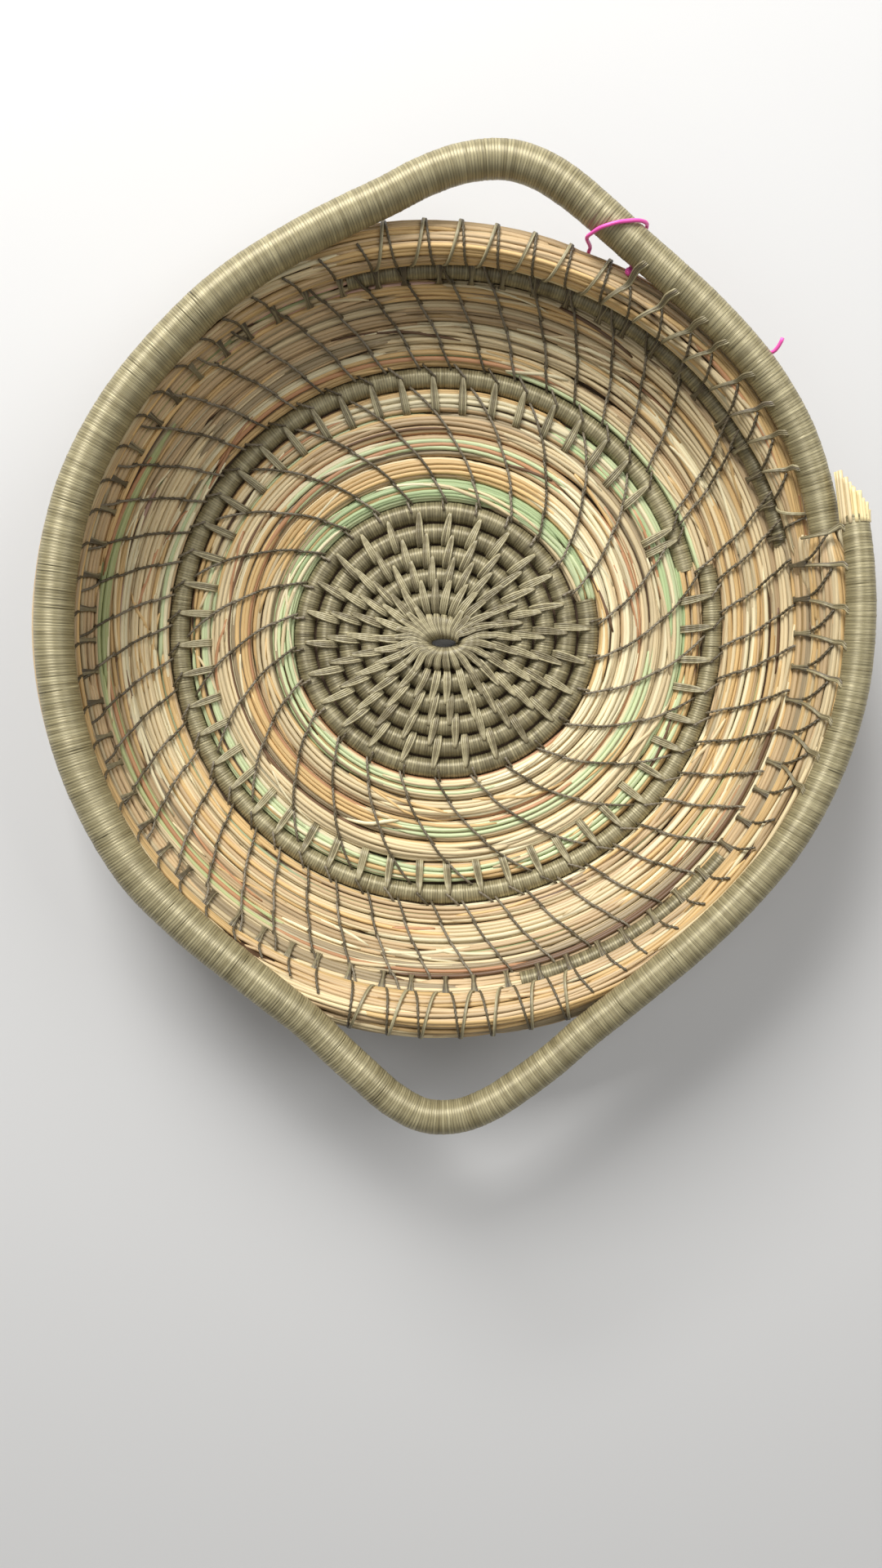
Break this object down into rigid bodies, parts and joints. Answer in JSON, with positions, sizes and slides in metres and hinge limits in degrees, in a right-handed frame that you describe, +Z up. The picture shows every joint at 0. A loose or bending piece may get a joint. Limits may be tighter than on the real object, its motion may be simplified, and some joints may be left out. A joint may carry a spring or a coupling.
{
  "type": "pine needle basket",
  "caption": "Shallow round bowl of coiled pine needles, sewn row to row in spokes, with a thick rim and a thread-wrapped bundle looped out into two handles.",
  "frame": {"origin": "centre of the whole basket's footprint, on the ground under its floor", "axes": "+Y from the pointed handle towards the round handle, +Z up out of the bowl, +X to the side where the wrapped bundle ends"},
  "size_m": [0.2148, 0.2508, 0.0432],
  "materials": {
    "needles_floor": "dry needle bundle, satin",
    "needles_wall": "dry needle bundle, satin",
    "needles_rim": "dry needle bundle, satin",
    "needles_cut": "cut needle ends, matte",
    "wrapping": "waxed thread wound close, satin",
    "sewing_thread": "waxed two-ply thread"
  },
  "bodies": {
    "root": {"centre_coil": "wrapping", "floor_coil": "needles_floor", "floor_band_coil": "wrapping", "wall_coil": "needles_wall", "wall_band_coil": "wrapping", "rim_coil": "needles_rim", "handle_coil": "wrapping", "needle_end": "needles_cut", "long_spoke_01": "sewing_thread", "long_spoke_02": "sewing_thread", "long_spoke_03": "sewing_thread", "long_spoke_04": "sewing_thread", "long_spoke_05": "sewing_thread", "long_spoke_06": "sewing_thread", "long_spoke_07": "sewing_thread", "long_spoke_08": "sewing_thread", "long_spoke_09": "sewing_thread", "long_spoke_10": "sewing_thread", "long_spoke_11": "sewing_thread", "long_spoke_12": "sewing_thread", "long_spoke_13": "sewing_thread", "long_spoke_14": "sewing_thread", "long_spoke_15": "sewing_thread", "long_spoke_16": "sewing_thread", "long_spoke_17": "sewing_thread", "long_spoke_18": "sewing_thread", "long_spoke_19": "sewing_thread", "long_spoke_20": "sewing_thread", "long_spoke_21": "sewing_thread", "long_spoke_22": "sewing_thread", "long_spoke_23": "sewing_thread", "long_spoke_24": "sewing_thread", "long_spoke_25": "sewing_thread", "long_spoke_26": "sewing_thread", "short_spoke_01": "sewing_thread", "short_spoke_02": "sewing_thread", "short_spoke_03": "sewing_thread", "short_spoke_04": "sewing_thread", "short_spoke_05": "sewing_thread", "short_spoke_06": "sewing_thread", "short_spoke_07": "sewing_thread", "short_spoke_08": "sewing_thread", "short_spoke_09": "sewing_thread", "short_spoke_10": "sewing_thread", "short_spoke_11": "sewing_thread", "short_spoke_12": "sewing_thread", "short_spoke_13": "sewing_thread", "short_spoke_14": "sewing_thread", "short_spoke_15": "sewing_thread", "short_spoke_16": "sewing_thread", "short_spoke_17": "sewing_thread", "short_spoke_18": "sewing_thread", "short_spoke_19": "sewing_thread", "short_spoke_20": "sewing_thread", "short_spoke_21": "sewing_thread", "short_spoke_22": "sewing_thread", "short_spoke_23": "sewing_thread", "short_spoke_24": "sewing_thread", "short_spoke_25": "sewing_thread", "short_spoke_26": "sewing_thread"}
  },
  "joints": []
}
